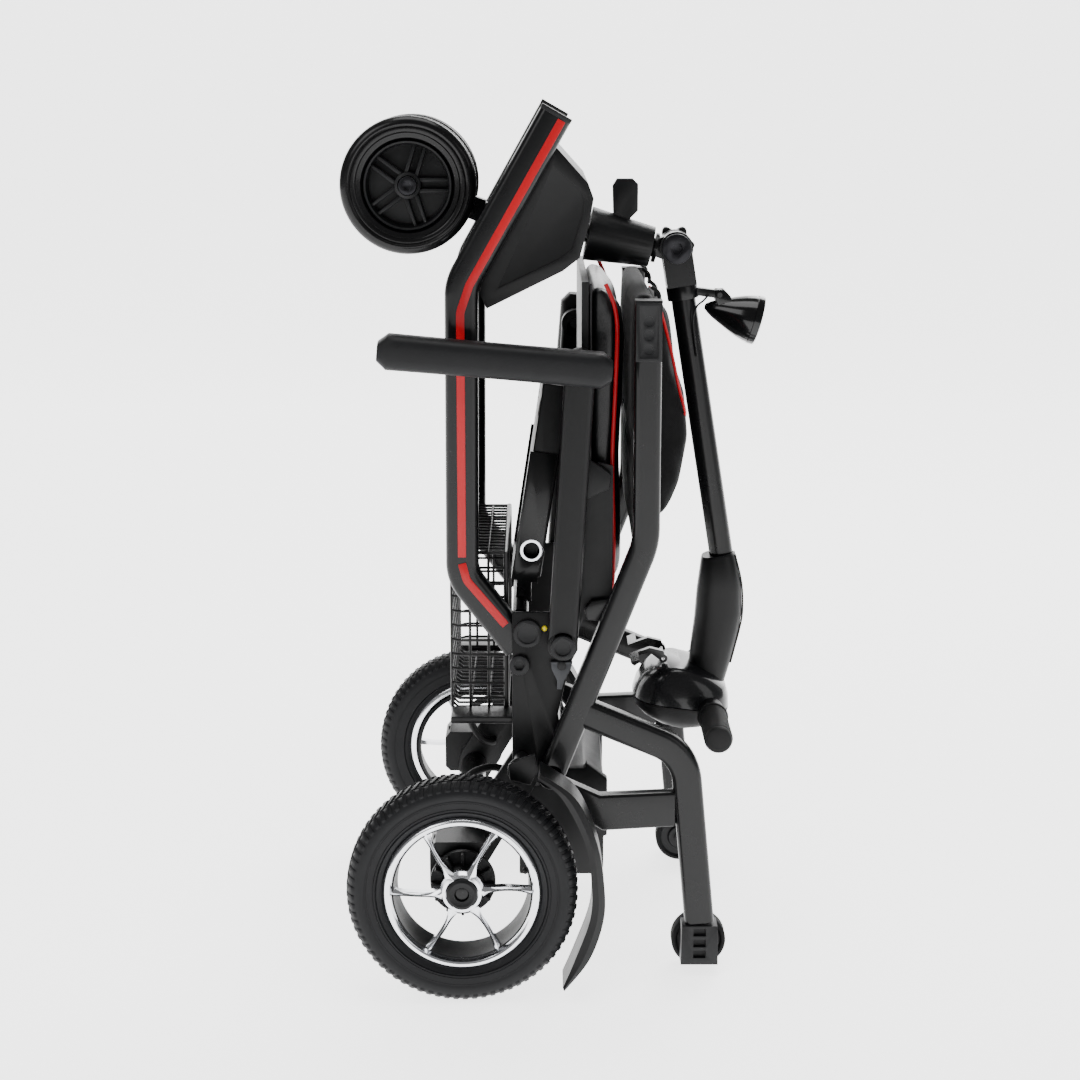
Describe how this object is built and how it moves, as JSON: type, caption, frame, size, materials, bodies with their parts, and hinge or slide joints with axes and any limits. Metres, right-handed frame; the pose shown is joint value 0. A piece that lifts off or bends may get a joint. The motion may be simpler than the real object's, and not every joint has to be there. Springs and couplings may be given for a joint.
{
  "type": "mobility scooter",
  "caption": "Folding electric mobility scooter standing folded on its tail, with twin front wheels, large rear wheels, fold-down seat and armrests, tiller with headlight, and basket.",
  "frame": {"origin": "on the ground under the middle of the folded scooter's box", "axes": "+Z up in the folded standing pose, which is forward when driving; +X is up when driving; -Y is the driver's left"},
  "size_m": [0.486, 0.582, 0.9692],
  "materials": {
    "frame_black": "satin powder coat",
    "trim_red": "gloss",
    "cap_grey": "fine grained",
    "cover_black": "fine grained",
    "pod_grey": "semi gloss",
    "plate_black": "matte powder coat",
    "deck_mat": "ribbed",
    "lamp_yellow": "gloss",
    "wire_black": "plastic dipped",
    "cable_black": "smooth",
    "bolt_dark": "blackened",
    "tube_steel": "anodised",
    "front_tyre_black": "gloss solid rubber",
    "rear_tyre_black": "treaded rubber",
    "rim_dark": "moulded nylon",
    "rim_silver": "machined and polished",
    "lens_clear": "clear",
    "grip_rubber": "ribbed",
    "pad_charcoal": "self-skinned foam",
    "seat_leather": "gloss leatherette",
    "mesh_fabric": "woven",
    "latch_grey": "moulded"
  },
  "bodies": {
    "chassis": {"chassis_rail_left": "frame_black", "chassis_rail_right": "frame_black", "rail_trims": "trim_red", "frame_caps": "cap_grey", "floor_pan": "frame_black", "floor_mat": "deck_mat", "front_housing": "cover_black", "steering_head": "frame_black", "hub_plate_left": "plate_black", "hub_plate_right": "plate_black", "side_lamps": "lamp_yellow", "axle_beam": "frame_black", "drive_motors": "cover_black", "controller_box": "cover_black", "wire_basket": "wire_black", "rear_fenders": "cover_black", "motor_cable": "cable_black", "battery_dock": "frame_black"},
    "battery": {"battery_pack": "cover_black"},
    "fork": {"front_fork": "frame_black", "front_axle": "bolt_dark"},
    "front_wheel_left": {"front_tyre_left": "front_tyre_black", "front_rim_left": "rim_dark"},
    "front_wheel_right": {"front_tyre_right": "front_tyre_black", "front_rim_right": "rim_dark"},
    "tiller": {"tiller_tube": "frame_black", "fold_pin": "bolt_dark", "lamp_bracket": "frame_black", "lamp_wire": "cable_black"},
    "star_knob": {"fold_knob": "cap_grey"},
    "headlight": {"headlight_shell": "cover_black", "headlight_lens": "lens_clear"},
    "tiller_head": {"inner_tube": "tube_steel", "tiller_shroud": "cover_black", "pod_cover": "pod_grey", "pod_base": "cover_black", "handlebar": "frame_black", "grips": "grip_rubber"},
    "throttle": {"throttle_lever": "cover_black"},
    "brake": {"brake_lever": "cover_black"},
    "dial": {"speed_dial": "cap_grey"},
    "back_frame": {"back_tubes": "frame_black", "caster_legs": "frame_black", "tube_caps": "cap_grey", "back_crossbars": "frame_black", "backrest": "mesh_fabric", "rear_pouch": "mesh_fabric"},
    "seat": {"seat_pan": "plate_black", "seat_cushion": "seat_leather"},
    "post_left": {"arm_post_left": "plate_black"},
    "post_right": {"arm_post_right": "plate_black"},
    "pad_left": {"armrest_left": "pad_charcoal"},
    "pad_right": {"armrest_right": "pad_charcoal"},
    "caster_wheel_left": {"caster_left": "rim_dark"},
    "caster_wheel_right": {"caster_right": "rim_dark"},
    "rear_wheel_left": {"rear_tyre_left": "rear_tyre_black", "rear_rim_left": "rim_silver"},
    "rear_wheel_right": {"rear_tyre_right": "rear_tyre_black", "rear_rim_right": "rim_silver"},
    "latch": {"fold_latch": "latch_grey"}
  },
  "joints": [
    {"name": "back_fold", "type": "hinge", "parent": "chassis", "child": "back_frame", "pos_m": [-0.005, 0, 0.235], "axis": [0, 1, 0], "range_deg": [0, 88], "deforming": ["backrest", "rear_pouch"]},
    {"name": "seat_hinge", "type": "hinge", "parent": "back_frame", "child": "seat", "pos_m": [0.042, 0, 0.418], "axis": [0, 1, 0], "range_deg": [-88, 0]},
    {"name": "post_left_fold", "type": "hinge", "parent": "chassis", "child": "post_left", "pos_m": [0.007, 0, 0.385], "axis": [0, 1, 0], "range_deg": [0, 88]},
    {"name": "post_right_fold", "type": "hinge", "parent": "chassis", "child": "post_right", "pos_m": [0.007, 0, 0.385], "axis": [0, 1, 0], "range_deg": [0, 88]},
    {"name": "tiller_fold", "type": "hinge", "parent": "fork", "child": "tiller", "pos_m": [0.138, 0, 0.804], "axis": [0, -1, 0], "range_deg": [0, 81.85]},
    {"name": "steering", "type": "hinge", "parent": "chassis", "child": "fork", "pos_m": [0.077, 0, 0.8115], "axis": [0.9781, 0, -0.2079], "range_deg": [-12, 12]},
    {"name": "front_wheel_left_spin", "type": "hinge", "parent": "fork", "child": "front_wheel_left", "pos_m": [-0.166, -0.042, 0.877], "axis": [0, 1, 0], "continuous": true},
    {"name": "front_wheel_right_spin", "type": "hinge", "parent": "fork", "child": "front_wheel_right", "pos_m": [-0.166, 0.042, 0.877], "axis": [0, 1, 0], "continuous": true},
    {"name": "tiller_reach", "type": "slide", "parent": "tiller", "child": "tiller_head", "axis": [0.1599, 0, -0.9871], "range_m": [0, 0.06]},
    {"name": "star_knob_turn", "type": "hinge", "parent": "tiller", "child": "star_knob", "pos_m": [0.138, 0.03, 0.804], "axis": [0, 1, 0], "continuous": true},
    {"name": "headlight_tilt", "type": "hinge", "parent": "tiller", "child": "headlight", "pos_m": [0.189, 0, 0.75], "axis": [0, 1, 0], "range_deg": [-15, 0]},
    {"name": "throttle_press", "type": "hinge", "parent": "tiller_head", "child": "throttle", "pos_m": [0.128, 0.024, 0.322], "axis": [0, 1, 0], "range_deg": [-12, 0], "stiffness_Nm_per_rad": 0.3, "springref_deg": 5.73},
    {"name": "brake_press", "type": "hinge", "parent": "tiller_head", "child": "brake", "pos_m": [0.128, -0.024, 0.322], "axis": [0, 1, 0], "range_deg": [-12, 0], "stiffness_Nm_per_rad": 0.3, "springref_deg": 5.73},
    {"name": "speed_dial_turn", "type": "hinge", "parent": "tiller_head", "child": "dial", "pos_m": [0.135, 0, 0.24], "axis": [0, 0, 1], "range_deg": [0, 270]},
    {"name": "armrest_left_flip", "type": "hinge", "parent": "post_left", "child": "pad_left", "pos_m": [0.0255, -0.23, 0.695], "axis": [0, 1, 0], "range_deg": [-90, 0]},
    {"name": "armrest_right_flip", "type": "hinge", "parent": "post_right", "child": "pad_right", "pos_m": [0.0255, 0.23, 0.695], "axis": [0, 1, 0], "range_deg": [0, 90]},
    {"name": "caster_left_spin", "type": "hinge", "parent": "back_frame", "child": "caster_wheel_left", "pos_m": [0.163, -0.172, 0.031], "axis": [0, 1, 0], "continuous": true},
    {"name": "caster_right_spin", "type": "hinge", "parent": "back_frame", "child": "caster_wheel_right", "pos_m": [0.163, 0.172, 0.031], "axis": [0, 1, 0], "continuous": true},
    {"name": "rear_wheel_left_spin", "type": "hinge", "parent": "chassis", "child": "rear_wheel_left", "pos_m": [-0.103, -0.265, 0.127], "axis": [0, 1, 0], "continuous": true},
    {"name": "rear_wheel_right_spin", "type": "hinge", "parent": "chassis", "child": "rear_wheel_right", "pos_m": [-0.103, 0.265, 0.127], "axis": [0, 1, 0], "continuous": true},
    {"name": "battery_slide", "type": "slide", "parent": "chassis", "child": "battery", "axis": [0.1478, 0, 0.989], "range_m": [0, 0.05]},
    {"name": "latch_lift", "type": "hinge", "parent": "chassis", "child": "latch", "pos_m": [0.006, 0, 0.358], "axis": [0, 1, 0], "range_deg": [0, 20], "stiffness_Nm_per_rad": 0.4, "springref_deg": -5.73}
  ],
  "couplings": [
    {"joint": "seat_hinge", "follows": "back_fold", "ratio": -1},
    {"joint": "post_left_fold", "follows": "back_fold", "ratio": 1},
    {"joint": "post_right_fold", "follows": "back_fold", "ratio": 1},
    {"joint": "tiller_fold", "follows": "back_fold", "ratio": 0.93}
  ]
}
